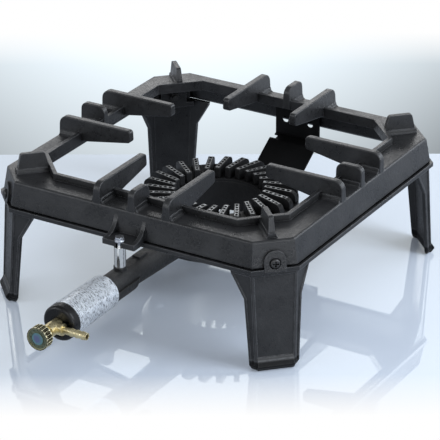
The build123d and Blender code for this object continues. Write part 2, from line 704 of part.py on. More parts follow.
with BuildPart() as burner_body:
    # thicker lower half of the tube behind the sleeve
    with BuildSketch(Plane.YZ):
        with Locations((0, TUBE_Z)):
            Polygon(
                (SLEEVE_Y[1], 0),
                (SLEEVE_Y[1], COLLAR_R),
                (COLLAR_Y[0], COLLAR_R),
                (COLLAR_Y[1], TUBE_R - COLLAR_SINK),
                (COLLAR_Y[1], 0),
                align=None,
            )
    revolve(axis=TUBE_AXIS)
    with BuildSketch(across_plane(SLEEVE_Y[1])):
        with Locations((0, COLLAR_TOP_Z - TUBE_Z)):
            Rectangle(2 * COLLAR_R, COLLAR_R, align=(Align.CENTER, Align.MIN))
    extrude(amount=SLEEVE_Y[1] - COLLAR_Y[1], mode=Mode.SUBTRACT)
    # mixing tube and the seat of the sleeve
    with BuildSketch(Plane.YZ):
        with Locations((0, TUBE_Z)):
            Polygon(
                (TUBE_FLARE_Y, 0),
                (TUBE_FLARE_Y, TUBE_R),
                (SLEEVE_Y[1], TUBE_R),
                (SLEEVE_Y[1], SLEEVE_R[1] - SLEEVE_PLAY),
                (SLEEVE_Y[0], SLEEVE_R[0] - SLEEVE_PLAY),
                (SLEEVE_Y[0], SPIGOT_R),
                (SPIGOT_END_Y, SPIGOT_R),
                (SPIGOT_END_Y, 0),
                align=None,
            )
    revolve(axis=TUBE_AXIS)
    with BuildSketch(across_plane(TUBE_FLARE_Y)):
        Circle(TUBE_R)
    with BuildSketch(across_plane(TUBE_START_Y)):
        with Locations((0, TUBE_REAR_Z - TUBE_Z)):
            Circle(TUBE_REAR_R)
    loft()
    # bowl
    with BuildSketch(Plane.XZ):
        Polygon(
            (BOWL_R, HEAD_Z),
            (BOWL_R, BOWL_SIDE_Z),
            (BOWL_FOOT_R, BOWL_FOOT_Z),
            (BORE_R, BOWL_BORE_Z),
            (BORE_R, HEAD_Z),
            align=None,
        )
    revolve(axis=Axis.Z)
    # boss for the front bolt and a cast pad behind it
    with BuildSketch(Plane.XY.offset(TUBE_Z)):
        with Locations((0, BOLT_Y)):
            Circle(BOLT_BOSS_R)
    extrude(amount=BOLT_BOSS_Z - TUBE_Z)
    with BuildSketch(Plane.XY.offset(TUBE_Z)):
        with Locations(TUBE_PAD_AT):
            Rectangle(TUBE_PAD_W, TUBE_PAD_L)
    extrude(amount=TUBE_PAD_Z - TUBE_Z)
    # the bowl's rim and the bolt boss are machined flat through the tube's crown
    with BuildSketch(Plane.XY.offset(HEAD_Z)):
        Circle(BOWL_R + HOLE_PLAY)
    extrude(amount=RUN_OUT, mode=Mode.SUBTRACT)
    with BuildSketch(Plane.XY.offset(BOLT_BOSS_Z)):
        with Locations((0, BOLT_Y)):
            Circle(BOLT_BOSS_R)
    extrude(amount=RUN_OUT, mode=Mode.SUBTRACT)
    # ear for the rear bracket
    with BuildSketch(Plane.XY.offset(BURNER_EAR_Z[0])):
        with Locations((0, BOWL_IN_R)):
            ear_l = BURNER_EAR_END - BOWL_IN_R
            Rectangle(2 * BURNER_EAR_HALF, ear_l, align=(Align.CENTER, Align.MIN))
    extrude(amount=BURNER_EAR_Z[1] - BURNER_EAR_Z[0])
    ear_ends = burner_body.edges().filter_by(Axis.Z)
    fillet(ear_ends.filter_by_position(Axis.Y, BURNER_EAR_END, BURNER_EAR_END), BURNER_EAR_HALF / 2)
    # gas chamber
    with BuildSketch(Plane.XZ):
        Polygon(
            (BOWL_IN_R, HEAD_Z),
            (BOWL_IN_R, BOWL_SIDE_Z + BOWL_WALL / 2),
            (BOWL_FOOT_R - BOWL_WALL / 2, BOWL_FOOT_Z + BOWL_WALL),
            (BORE_OUT_R, BOWL_BORE_Z + BOWL_WALL),
            (BORE_OUT_R, HEAD_Z),
            align=None,
        )
    revolve(axis=Axis.Z, mode=Mode.SUBTRACT)
    # bosses inside the chamber for the screws that hold the head
    for angle in HEAD_SCREW_AT:
        at = out_dir(angle) * HEAD_SCREW_RING
        with BuildSketch(Plane.XY.offset(BOWL_BORE_Z)):
            with Locations(at):
                Circle(HEAD_BOSS_R)
        extrude(amount=HEAD_BOSS_Z - BOWL_BORE_Z)
        with BuildSketch(Plane.XY.offset(BOWL_FOOT_Z)):
            with Locations(at):
                Circle(M5_R + HOLE_PLAY)
        extrude(amount=HEAD_BOSS_Z - BOWL_FOOT_Z, mode=Mode.SUBTRACT)
        with BuildSketch(Plane.XY.offset(BOWL_FOOT_Z)):
            with Locations(at):
                Circle(M5_HEAD_R + HOLE_PLAY)
        extrude(amount=HEAD_SEAT_Z - BOWL_FOOT_Z, mode=Mode.SUBTRACT)
    # bore of the tube, widening to its mouth
    with BuildSketch(Plane.YZ):
        with Locations((0, TUBE_Z)):
            Polygon(
                (TUBE_START_Y + BOWL_WALL, 0),
                (TUBE_START_Y + BOWL_WALL, TUBE_BORE_R),
                (MOUTH_CONE_Y[1], TUBE_BORE_R),
                (MOUTH_CONE_Y[0], MOUTH_R),
                (SPIGOT_END_Y + END_PLATE_T, MOUTH_R),
                (SPIGOT_END_Y + END_PLATE_T, 0),
                align=None,
            )
    revolve(axis=TUBE_AXIS, mode=Mode.SUBTRACT)
    # air windows and the valve's hole in the end plate
    with BuildSketch(across_plane(SPIGOT_END_Y)):
        for turn in WINDOW_AT:
            add(air_window.sketch, rotation=turn)
        Circle(STEM_R + THREAD_FIT)
    extrude(amount=-END_PLATE_T, mode=Mode.SUBTRACT)
    # tapped hole for the front bolt
    with BuildSketch(Plane.XY.offset(BOLT_BOSS_Z)):
        with Locations((0, BOLT_Y)):
            Circle(M6_R + THREAD_FIT)
    extrude(amount=-(BOLT_BOSS_Z - TUBE_Z), mode=Mode.SUBTRACT)
    # hole for the bracket bolt
    with BuildSketch(Plane.XY.offset(BURNER_EAR_Z[0])):
        with Locations((0, BURNER_EAR_Y)):
            Circle(M6_HOLE_R)
    extrude(amount=BURNER_EAR_Z[1] - BURNER_EAR_Z[0], mode=Mode.SUBTRACT)

# ---------------------------------------------------------------- burner head
with BuildPart() as ridge:
    with BuildSketch(Plane.XZ.offset(-RIDGE_SWIRL + RIDGE_T / 2)):
        Polygon(
            (RIDGE_RUN[0], HEAD_Z + HEAD_PLATE_T / 2),
            (RIDGE_RUN[0], RIDGE_Z),
            (RIDGE_RUN[1], RIDGE_Z),
            (RIDGE_RUN[1], HEAD_Z + HEAD_PLATE_T / 2),
            align=None,
        )
    extrude(amount=-RIDGE_T)
    crowns = ridge.edges().filter_by(Axis.Y).filter_by_position(Axis.Z, RIDGE_Z, RIDGE_Z)
    fillet(crowns.sort_by(Axis.X)[-1], RIDGE_END_R)
    crowns = ridge.edges().filter_by(Axis.Y).filter_by_position(Axis.Z, RIDGE_Z, RIDGE_Z)
    fillet(crowns.sort_by(Axis.X)[0], RIDGE_HEEL_R)

with BuildPart() as ridge_duct:
    with BuildSketch(Plane.XY.offset(HEAD_Z)):
        with Locations((DUCT_RUN[0], RIDGE_SWIRL)):
            Rectangle(DUCT_RUN[1] - DUCT_RUN[0], DUCT_T, align=(Align.MIN, Align.CENTER))
    extrude(amount=DUCT_TOP_Z - HEAD_Z)
    with BuildSketch(Plane.XY.offset(DUCT_TOP_Z)):
        for index in range(PORT_COUNT):
            step = (PORT_RUN[1] - PORT_RUN[0]) / (PORT_COUNT - 1)
            with Locations((PORT_RUN[0] + index * step, RIDGE_SWIRL)):
                Rectangle(PORT_L, PORT_W)
    extrude(amount=RIDGE_Z - DUCT_TOP_Z)

RIDGE_TURNS = [RIDGE_FIRST + 360 / RIDGE_COUNT * index for index in range(RIDGE_COUNT)]

with BuildPart() as burner_head:
    with BuildSketch(Plane.XY.offset(HEAD_Z)):
        Circle(BOWL_R)
        Circle(BORE_R, mode=Mode.SUBTRACT)
    extrude(amount=HEAD_PLATE_T)
    for turn in RIDGE_TURNS:
        with Locations(Location((0, 0, 0), (0, 0, turn))):
            add(ridge.part)
    for turn in RIDGE_TURNS:
        with Locations(Location((0, 0, 0), (0, 0, turn))):
            add(ridge_duct.part, mode=Mode.SUBTRACT)
    for angle in HEAD_SCREW_AT:
        at = out_dir(angle) * HEAD_SCREW_RING
        with BuildSketch(Plane.XY.offset(HEAD_BOSS_Z)):
            with Locations(at):
                Circle(HEAD_BOSS_R)
        extrude(amount=HEAD_Z - HEAD_BOSS_Z)
        with BuildSketch(Plane.XY.offset(HEAD_BOSS_Z)):
            with Locations(at):
                Circle(M5_R + THREAD_FIT)
        extrude(amount=HEAD_SCREW_TOP - HEAD_BOSS_Z, mode=Mode.SUBTRACT)

with BuildPart() as head_screws:
    for angle in HEAD_SCREW_AT:
        at = out_dir(angle) * HEAD_SCREW_RING
        with BuildSketch(Plane.XY.offset(HEAD_SEAT_Z)):
            with Locations(at):
                Circle(M5_HEAD_R)
        extrude(amount=-M5_HEAD_T)
        with BuildSketch(Plane.XY.offset(HEAD_SEAT_Z)):
            with Locations(at):
                Circle(M5_R)
        extrude(amount=HEAD_SCREW_TOP - HOLE_PLAY - HEAD_SEAT_Z)
        with BuildSketch(Plane.XY.offset(HEAD_SEAT_Z - M5_HEAD_T)):
            with Locations(at):
                Rectangle(2 * M5_HEAD_R, M5_SLOT_W)
        extrude(amount=M5_SLOT_W, mode=Mode.SUBTRACT)

# ---------------------------------------------------------------- sleeve and air shutter
with BuildPart() as tube_sleeve:
    with BuildSketch(Plane.YZ):
        with Locations((0, TUBE_Z)):
            Polygon(
                (SLEEVE_Y[0], SLEEVE_R[0] - SLEEVE_T),
                (SLEEVE_Y[0], SLEEVE_R[0]),
                (SLEEVE_Y[1], SLEEVE_R[1]),
                (SLEEVE_Y[1], SLEEVE_R[1] - SLEEVE_T),
                align=None,
            )
    revolve(axis=TUBE_AXIS)

with BuildPart() as air_shutter:
    with BuildSketch(across_plane(SHUTTER_BACK_Y)):
        Circle(SHUTTER_R)
    extrude(amount=SHUTTER_BACK_Y - SHUTTER_FRONT_Y)
    fillet(air_shutter.faces().sort_by(Axis.Y)[0].edges(), SHUTTER_EDGE_R)
    with BuildSketch(across_plane(SHUTTER_BACK_Y)):
        Circle(SPIGOT_R + RUN_FIT)
    cup_depth = SHUTTER_BACK_Y - SHUTTER_FRONT_Y - SHUTTER_PLATE_T
    extrude(amount=cup_depth, mode=Mode.SUBTRACT)
    with BuildSketch(across_plane(SHUTTER_FRONT_Y)):
        for turn in WINDOW_AT:
            add(air_window.sketch, rotation=turn)
        Circle(HUB_R + RUN_FIT)
    extrude(amount=-SHUTTER_PLATE_T, mode=Mode.SUBTRACT)

# ---------------------------------------------------------------- valve
with BuildPart() as valve_body:
    with BuildSketch(Plane.YZ):
        with Locations((0, TUBE_Z)):
            Polygon(
                (BARREL_Y[0], 0),
                (BARREL_Y[0], BARREL_R),
                (BARREL_Y[1], BARREL_R),
                (BARREL_Y[1], HUB_R),
                (SPIGOT_END_Y, HUB_R),
                (SPIGOT_END_Y, STEM_R),
                (STEM_END_Y, STEM_R),
                (STEM_END_Y, 0),
                align=None,
            )
    revolve(axis=TUBE_AXIS)
    with BuildSketch(branch_plane(0)):
        Circle(SIDE_BOSS_R)
    extrude(amount=SIDE_BOSS_X)
    # way of the gas: gland bore, valve seat, passage to the injector
    with BuildSketch(Plane.YZ):
        with Locations((0, TUBE_Z)):
            Polygon(
                (BARREL_Y[0], 0),
                (BARREL_Y[0], GLAND_BORE_R + THREAD_FIT),
                (GLAND_BORE_END_Y, GLAND_BORE_R + THREAD_FIT),
                (GLAND_BORE_END_Y, SPINDLE_R + HOLE_PLAY),
                (SEAT_Y, SPINDLE_R + HOLE_PLAY),
                (SEAT_Y, SEAT_R),
                (SEAT_Y + SEAT_R, SEAT_R),
                (SEAT_Y + GAS_BORE_R, GAS_BORE_R),
                (STEM_END_Y, GAS_BORE_R),
                (STEM_END_Y, 0),
                align=None,
            )
    revolve(axis=TUBE_AXIS, mode=Mode.SUBTRACT)
    with BuildSketch(branch_plane(0)):
        Circle(NIPPLE_BORE_R)
    extrude(amount=SIDE_BOSS_X, mode=Mode.SUBTRACT)
    with BuildSketch(branch_plane(NIPPLE_THREAD_X)):
        Circle(STEM_R + THREAD_FIT)
    extrude(amount=SIDE_BOSS_X - NIPPLE_THREAD_X, mode=Mode.SUBTRACT)

with BuildPart() as injector:
    with BuildSketch(across_plane(SPIGOT_END_Y + END_PLATE_T)):
        RegularPolygon(INJECTOR_AF / 2, 6, major_radius=False)
    extrude(amount=-(INJECTOR_HEX_Y - SPIGOT_END_Y - END_PLATE_T))
    with BuildSketch(Plane.YZ):
        with Locations((0, TUBE_Z)):
            Polygon(
                (INJECTOR_HEX_Y, 0),
                (INJECTOR_HEX_Y, INJECTOR_NOSE_R[0]),
                (INJECTOR_TIP_Y, INJECTOR_NOSE_R[1]),
                (INJECTOR_TIP_Y, 0),
                align=None,
            )
    revolve(axis=TUBE_AXIS)
    with BuildSketch(across_plane(SPIGOT_END_Y + END_PLATE_T)):
        Circle(STEM_R + THREAD_FIT)
    extrude(amount=-(STEM_END_Y - SPIGOT_END_Y - END_PLATE_T), mode=Mode.SUBTRACT)
    with BuildSketch(across_plane(STEM_END_Y)):
        Circle(INJECTOR_JET_R)
    extrude(amount=STEM_END_Y - INJECTOR_TIP_Y, mode=Mode.SUBTRACT)

with BuildPart() as hose_nipple:
    with BuildSketch(Plane.XY.offset(TUBE_Z)):
        with BuildLine():
            outline = [
                (NIPPLE_THREAD_X, NIPPLE_Y),
                (NIPPLE_THREAD_X, NIPPLE_Y + STEM_R),
                (SIDE_BOSS_X, NIPPLE_Y + STEM_R),
                (SIDE_BOSS_X, NIPPLE_Y + NIPPLE_FLANGE_R),
                (NIPPLE_FLANGE_X, NIPPLE_Y + NIPPLE_FLANGE_R),
                (NIPPLE_FLANGE_X, NIPPLE_Y + NIPPLE_R),
            ]
            for crest in BARB_X:
                outline += [
                    (crest, NIPPLE_Y + NIPPLE_R),
                    (crest, NIPPLE_Y + BARB_R),
                    (crest + BARB_L, NIPPLE_Y + NIPPLE_R),
                ]
            outline += [(NIPPLE_TIP_X, NIPPLE_Y + NIPPLE_R), (NIPPLE_TIP_X, NIPPLE_Y)]
            Polyline(*outline, close=True)
        make_face()
    revolve(axis=Axis((0, NIPPLE_Y, TUBE_Z), (1, 0, 0)))
    with BuildSketch(branch_plane(NIPPLE_THREAD_X)):
        Circle(NIPPLE_BORE_R)
    extrude(amount=NIPPLE_TIP_X - NIPPLE_THREAD_X, mode=Mode.SUBTRACT)

with BuildPart() as spindle:
    with BuildSketch(Plane.YZ):
        with Locations((0, TUBE_Z)):
            Polygon(
                (SPINDLE_END_Y, 0),
                (SPINDLE_END_Y, SPINDLE_R),
                (SPINDLE_TIP_Y - SPINDLE_R, SPINDLE_R),
                (SPINDLE_TIP_Y, SEAT_R),
                (SPINDLE_TIP_Y + SEAT_R, 0),
                align=None,
            )
    revolve(axis=TUBE_AXIS)
    # tapped hole for the knob screw
    with BuildSketch(across_plane(SPINDLE_END_Y)):
        Circle(KNOB_SCREW_R + THREAD_FIT)
    extrude(amount=-KNOB_SCREW_L, mode=Mode.SUBTRACT)

with BuildPart() as packing_ring:
    with BuildSketch(across_plane(PACKING_Y[0])):
        Circle(GLAND_BORE_R)
        Circle(SPINDLE_R + RUN_FIT, mode=Mode.SUBTRACT)
    extrude(amount=PACKING_Y[0] - PACKING_Y[1])

with BuildPart() as gland_nut:
    with BuildSketch(across_plane(BARREL_Y[0])):
        RegularPolygon(GLAND_AF / 2, 6, major_radius=False)
    extrude(amount=BARREL_Y[0] - GLAND_HEX_Y)
    with BuildSketch(across_plane(BARREL_Y[0])):
        Circle(GLAND_BORE_R)
    extrude(amount=BARREL_Y[0] - GLAND_THREAD_Y)
    with BuildSketch(across_plane(GLAND_HEX_Y)):
        Circle(SPINDLE_R + RUN_FIT)
    extrude(amount=GLAND_HEX_Y - GLAND_THREAD_Y, mode=Mode.SUBTRACT)

# ---------------------------------------------------------------- knob
with BuildPart() as knob:
    with BuildSketch(across_plane(KNOB_Y[1])):
        knurl = []
        for index in range(KNURL_COUNT):
            for share, radius in ((0.0, KNOB_R), (0.5, KNOB_R - KNURL_DEPTH)):
                turn = math.radians((index + share) * 360 / KNURL_COUNT)
                knurl.append((radius * math.cos(turn), radius * math.sin(turn)))
        Polygon(*knurl, align=None)
    extrude(amount=KNOB_Y[1] - KNOB_Y[0])
    for rim in (KNOB_Y[1], KNOB_Y[0] + KNOB_RIM_T):
        with BuildSketch(across_plane(rim)):
            Circle(KNOB_R)
        extrude(amount=KNOB_RIM_T)
    with BuildSketch(across_plane(KNOB_HUB_Y)):
        Circle(KNOB_HUB_R)
    extrude(amount=KNOB_HUB_Y - KNOB_Y[1])
    # sunk face with a ring of small round studs, and the seat of the disc
    with BuildSketch(across_plane(KNOB_Y[0])):
        Circle(KNOB_FACE_R)
    extrude(amount=-KNOB_FACE_DEPTH, mode=Mode.SUBTRACT)
    with BuildSketch(across_plane(KNOB_Y[0] + KNOB_FACE_DEPTH)):
        with PolarLocations(MARK_RING, MARK_COUNT):
            Circle(MARK_R)
        Circle(DISC_R + DISC_COLLAR_T)
    extrude(amount=KNOB_FACE_DEPTH)
    with BuildSketch(across_plane(DISC_FRONT_Y + DISC_T)):
        Circle(DISC_R + HOLE_PLAY)
    extrude(amount=DISC_T + KNOB_FACE_DEPTH, mode=Mode.SUBTRACT)
    # screw head pocket, screw hole and spindle bore
    with BuildSketch(across_plane(DISC_FRONT_Y + DISC_T)):
        Circle(KNOB_SCREW_HEAD_R + HOLE_PLAY)
    extrude(amount=-KNOB_SCREW_HEAD_T, mode=Mode.SUBTRACT)
    with BuildSketch(across_plane(DISC_FRONT_Y + DISC_T)):
        Circle(KNOB_SCREW_R + HOLE_PLAY)
    extrude(amount=DISC_FRONT_Y + DISC_T - SPINDLE_END_Y, mode=Mode.SUBTRACT)
    with BuildSketch(across_plane(KNOB_HUB_Y)):
        Circle(SPINDLE_R + RUN_FIT)
    extrude(amount=KNOB_HUB_Y - SPINDLE_END_Y, mode=Mode.SUBTRACT)

with BuildPart() as knob_screw:
    screw_seat_y = DISC_FRONT_Y + DISC_T + KNOB_SCREW_HEAD_T
    with BuildSketch(across_plane(screw_seat_y)):
        Circle(KNOB_SCREW_HEAD_R)
    extrude(amount=KNOB_SCREW_HEAD_T)
    with BuildSketch(across_plane(screw_seat_y)):
        Circle(KNOB_SCREW_R)
    extrude(amount=-KNOB_SCREW_L)

with BuildPart() as knob_disc:
    with BuildSketch(across_plane(DISC_FRONT_Y + DISC_T)):
        Circle(DISC_R)
    extrude(amount=DISC_T)

# ---------------------------------------------------------------- front bolt and spacer
with BuildPart() as front_spacer:
    with BuildSketch(Plane.XY.offset(BOLT_BOSS_Z)):
        with Locations((0, BOLT_Y)):
            Circle(SPACER_R)
            Circle(M6_HOLE_R, mode=Mode.SUBTRACT)
    extrude(amount=SHELF_Z[0] - BOLT_BOSS_Z)

with BuildPart() as front_bolt:
    bolt_l = SHELF_Z[1] - FRONT_BOLT_END_Z
    with Locations((0, BOLT_Y, SHELF_Z[1])):
        add(hex_bolt(bolt_l, FRONT_HEAD_T, FLANGE_R, FLANGE_T))

# ---------------------------------------------------------------- rear bracket
def strap_outline(lower, thickness):
    """Bent strip: the given line and the same line moved square to itself, up and forward."""
    upper = []
    for index, (y, z) in enumerate(lower):
        normals = []
        for first, second in ((index - 1, index), (index, index + 1)):
            if first >= 0 and second < len(lower):
                run = (lower[second][0] - lower[first][0], lower[second][1] - lower[first][1])
                length = math.hypot(*run)
                normals.append((run[1] / length, -run[0] / length))
        mid = (sum(n[0] for n in normals), sum(n[1] for n in normals))
        reach = thickness / (mid[0] * normals[0][0] + mid[1] * normals[0][1])
        upper.append((y + mid[0] * reach, z + mid[1] * reach))
    return lower + upper[::-1]


with BuildPart() as rear_bracket:
    strap_line = [
        (BRACKET_PAD_Y, STRAP_TOP_Z),
        (BRACKET_PAD_Y, STRAP_BEND_Z),
        STRAP_KNEE,
        (STRAP_TOE_Y, BURNER_EAR_Z[1]),
        (STRAP_END_Y, BURNER_EAR_Z[1]),
    ]
    with BuildSketch(Plane.YZ):
        Polygon(*strap_outline(strap_line, STRAP_T), align=None)
    extrude(amount=STRAP_WING_HALF, both=True)
    # the upright plate is narrower than the wing, with a relief cut at each end of the bend
    for turn in (-1, 1):
        with BuildSketch(Plane.XY.offset(BURNER_EAR_Z[1])):
            with Locations((turn * STRAP_WING_HALF, STRAP_RELIEF_Y[1])):
                side_w = 2 * (STRAP_WING_HALF - STRAP_HALF)
                Rectangle(side_w, RUN_OUT, align=(Align.CENTER, Align.MIN))
            with Locations((turn * STRAP_WING_HALF, STRAP_RELIEF_Y[0])):
                relief_l = STRAP_RELIEF_Y[1] - STRAP_RELIEF_Y[0]
                Rectangle(2 * STRAP_RELIEF_IN, relief_l, align=(Align.CENTER, Align.MIN))
            Polygon(
                (turn * STRAP_WING_HALF, STRAP_NARROW_Y),
                (turn * STRAP_END_HALF, STRAP_TOE_Y),
                (turn * STRAP_END_HALF, STRAP_END_Y),
                (turn * STRAP_WING_HALF, STRAP_END_Y),
                align=None,
            )
        extrude(amount=STRAP_TOP_Z - BURNER_EAR_Z[1], mode=Mode.SUBTRACT)
    # open holes of the upright plate and the holes for the fixing bolts
    with BuildSketch(facing_plane(REAR, BRACKET_PAD_Y)):
        with Locations((-STRAP_HOLE_X, STRAP_HOLE_Z), (STRAP_HOLE_X, STRAP_HOLE_Z)):
            Circle(STRAP_HOLE_R)
        with Locations((0, BRACKET_BOLT_Z)):
            Circle(M6_HOLE_R)
    extrude(amount=-STRAP_T, mode=Mode.SUBTRACT)
    with BuildSketch(Plane.XY.offset(BURNER_EAR_Z[1])):
        with Locations((0, BURNER_EAR_Y)):
            Circle(M6_HOLE_R)
    extrude(amount=STRAP_T, mode=Mode.SUBTRACT)

with BuildPart() as bracket_bolts:
    skirt_l = BRACKET_SEAT_Y - BRACKET_PAD_Y + STRAP_T + M6_NUT_T + M6_END
    with Locations(facing_plane(REAR, BRACKET_SEAT_Y, BRACKET_BOLT_Z).location):
        add(hex_bolt(skirt_l, M6_HEAD_T, M6_HEX_AF / 2, M6_FACE_T))
    with Locations((0, BURNER_EAR_Y, BURNER_EAR_Z[1] + STRAP_T)):
        add(hex_bolt(BRACKET_BOLT_L, M6_HEAD_T, M6_HEX_AF / 2, M6_FACE_T))

with BuildPart() as bracket_nuts:
    with Locations(facing_plane(REAR, BRACKET_PAD_Y - STRAP_T - M6_NUT_T, BRACKET_BOLT_Z).location):
        add(m6_nut.part)
    with Locations((0, BURNER_EAR_Y, BURNER_EAR_Z[0] - M6_NUT_T)):
        add(m6_nut.part)

# ---------------------------------------------------------------- files
os.makedirs("parts", exist_ok=True)
PIECES = {
    "top_frame": top_frame.part,
    "leg_front_left": leg_front_left,
    "leg_front_right": leg_front_right,
    "leg_rear_left": leg_rear_left,
    "leg_rear_right": leg_rear_right,
    "leg_screws": leg_screws.part,
    "leg_washers": leg_washers.part,
    "leg_nuts": leg_nuts.part,
    "burner_body": burner_body.part,
    "burner_head": burner_head.part,
    "head_screws": head_screws.part,
    "tube_sleeve": tube_sleeve.part,
    "air_shutter": air_shutter.part,
    "valve_body": valve_body.part,
    "injector": injector.part,
    "hose_nipple": hose_nipple.part,
    "spindle": spindle.part,
    "packing_ring": packing_ring.part,
    "gland_nut": gland_nut.part,
    "knob": knob.part,
    "knob_screw": knob_screw.part,
    "knob_disc": knob_disc.part,
    "front_spacer": front_spacer.part,
    "front_bolt": front_bolt.part,
    "rear_bracket": rear_bracket.part,
    "bracket_bolts": bracket_bolts.part,
    "bracket_nuts": bracket_nuts.part,
}
for name, piece in PIECES.items():
    piece.label = name
    export_step(piece, f"parts/{name}.step")
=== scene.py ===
import json
import math

import bpy
from mathutils import Matrix, Vector

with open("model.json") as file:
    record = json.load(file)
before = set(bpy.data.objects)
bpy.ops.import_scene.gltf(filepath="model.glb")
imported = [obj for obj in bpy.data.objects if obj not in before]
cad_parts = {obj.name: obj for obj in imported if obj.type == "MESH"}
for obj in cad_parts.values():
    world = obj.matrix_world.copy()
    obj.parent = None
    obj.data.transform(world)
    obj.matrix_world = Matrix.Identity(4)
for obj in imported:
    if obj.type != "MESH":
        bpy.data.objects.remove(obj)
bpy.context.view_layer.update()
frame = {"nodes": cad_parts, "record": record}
NODES = frame["nodes"]

# ---------------------------------------------------------------- camera
CAMERA_AT = Vector((1.51907, -2.50763, 1.45894))
YAW = math.radians(30.793)          # the camera looks this far left of +Y
PITCH = math.radians(25.457)        # and this far down
ROLL = math.radians(-0.137)
FOCAL_SHARE = 2616.5 / 440          # focal length over the picture's width
SENSOR = 36.0
SHIFT = (-0.0378, 0.006)

ahead = Vector((-math.sin(YAW) * math.cos(PITCH), math.cos(YAW) * math.cos(PITCH), -math.sin(PITCH)))
right = Vector((math.cos(YAW), math.sin(YAW), 0))
above = right.cross(ahead)
turned_right = right * math.cos(ROLL) + above * math.sin(ROLL)
turned_above = above * math.cos(ROLL) - right * math.sin(ROLL)

camera_data = bpy.data.cameras.new("camera")
camera_data.sensor_width = SENSOR
camera_data.lens = SENSOR * FOCAL_SHARE
camera_data.shift_x, camera_data.shift_y = SHIFT
camera_data.clip_start = 0.1
camera_data.clip_end = 50
camera = bpy.data.objects.new("camera", camera_data)
bpy.context.scene.collection.objects.link(camera)
camera.matrix_world = Matrix((
    (turned_right.x, turned_above.x, -ahead.x, CAMERA_AT.x),
    (turned_right.y, turned_above.y, -ahead.y, CAMERA_AT.y),
    (turned_right.z, turned_above.z, -ahead.z, CAMERA_AT.z),
    (0, 0, 0, 1),
))
bpy.context.scene.camera = camera
bpy.context.scene.view_settings.view_transform = "Standard"

# the ground directions straight away from the camera and across its view
AWAY = Vector((-math.sin(YAW), math.cos(YAW), 0))
ACROSS = right


# ---------------------------------------------------------------- places on the object, metres
TUBE_AXIS_Z = 0.081                 # the tube, its sleeve, the knob and its disc share this axis
FOIL_ARC_R = 0.0215                 # near the middle radius of the sleeve, which tapers
CROWN_Z = 0.1134                    # just under the flat tops of the burner's ridges
CROWN_FADE = 0.0002
RIDGE_COUNT = 27
RIDGE_SWIRL = 0.023                 # distance of a ridge's line from the centre
RIDGE_FIRST = math.radians(-20.6)
RIDGE_STEP = math.radians(360 / RIDGE_COUNT)
BARE_HALF = (0.0022, 0.0027)        # bare metal fades out between these distances from that line
FOOT_DARK_FROM = (0.0035, 0.0045)   # heights on a leg: the painted shade near the floor starts
FOOT_DARK_TO = (0.0100, 0.0115)     # and ends
FOOT_LINE_FROM = (0.0112, 0.0120)   # the painted highlight line above it starts
FOOT_LINE_TO = (0.0128, 0.0136)     # and ends
KNURL_COUNT = 40
GROOVE_FROM = (0.0128, 0.0130)      # distances from the knob's axis: the dark of a groove starts
GROOVE_TO = (0.0136, 0.0138)        # and ends
CREST_FROM = (0.0137, 0.0139)       # the bright crests start
ALTERNATE_DARK_FROM = (0.0128, 0.0131)       # the darkening of every second knurl starts
KNOB_FACE_R = (0.0122, 0.0124)      # the dull face of the knob ends
KNOB_FACE_Y = (-0.392, -0.394)      # and it lies in front of these
DISC_BLEND = (0.0060, 0.0095)       # between these, mottle added, the disc changes colour
DISC_MOTTLE = 0.006


# ---------------------------------------------------------------- materials
def with_alpha(value):
    """A colour of three parts gets its fourth; anything else stays as it is."""
    if isinstance(value, tuple) and len(value) == 3:
        return (*value, 1)
    return value


class Nodes:
    """Short calls for the nodes of one tree."""

    def __init__(self, tree):
        self.tree = tree
        self.tree.nodes.clear()

    def add(self, kind, inputs=None, **settings):
        node = self.tree.nodes.new(kind)
        for key, value in settings.items():
            setattr(node, key, value)
        for key, value in (inputs or {}).items():
            self.put(node.inputs[key], value)
        return node

    def put(self, socket, value):
        if isinstance(value, bpy.types.NodeSocket):
            self.tree.links.new(value, socket)
        else:
            socket.default_value = value

    def span(self, value, low, high, to_low=0.0, to_high=1.0):
        made = self.add(
            "ShaderNodeMapRange",
            {"Value": value, "From Min": low, "From Max": high, "To Min": to_low, "To Max": to_high},
        )
        return made.outputs["Result"]

    def mix(self, share, first, second):
        made = self.add("ShaderNodeMix", data_type="RGBA")
        for index, value in ((0, share), (6, first), (7, second)):
            self.put(made.inputs[index], with_alpha(value))
        return made.outputs[2]

    def blend(self, share, first, second):
        """Mixes two shaders."""
        made = self.add("ShaderNodeMixShader", {"Fac": share})
        self.put(made.inputs[1], first)
        self.put(made.inputs[2], second)
        return made.outputs[0]

    def math(self, what, first, second=0.0):
        made = self.add("ShaderNodeMath", operation=what)
        self.put(made.inputs[0], first)
        self.put(made.inputs[1], second)
        return made.outputs[0]

    def times(self, first, second):
        return self.math("MULTIPLY", first, second)

    def band(self, value, low, high):
        """1 between the inner ends of two pairs of values, and 0 outside their outer ends."""
        return self.times(self.span(value, *low), self.span(value, *high, 1.0, 0.0))

    def dot(self, first, second):
        made = self.add("ShaderNodeVectorMath", operation="DOT_PRODUCT")
        self.put(made.inputs[0], first)
        self.put(made.inputs[1], second)
        return made.outputs["Value"]

    def split(self, vector):
        made = self.add("ShaderNodeSeparateXYZ", {"Vector": vector})
        return made.outputs[0], made.outputs[1], made.outputs[2]

    def join(self, x, y, z):
        return self.add("ShaderNodeCombineXYZ", {"X": x, "Y": y, "Z": z}).outputs[0]

    def bump(self, height, strength, depth, normal=None):
        inputs = {"Height": height, "Strength": strength, "Distance": depth}
        if normal is not None:
            inputs["Normal"] = normal
        return self.add("ShaderNodeBump", inputs).outputs["Normal"]


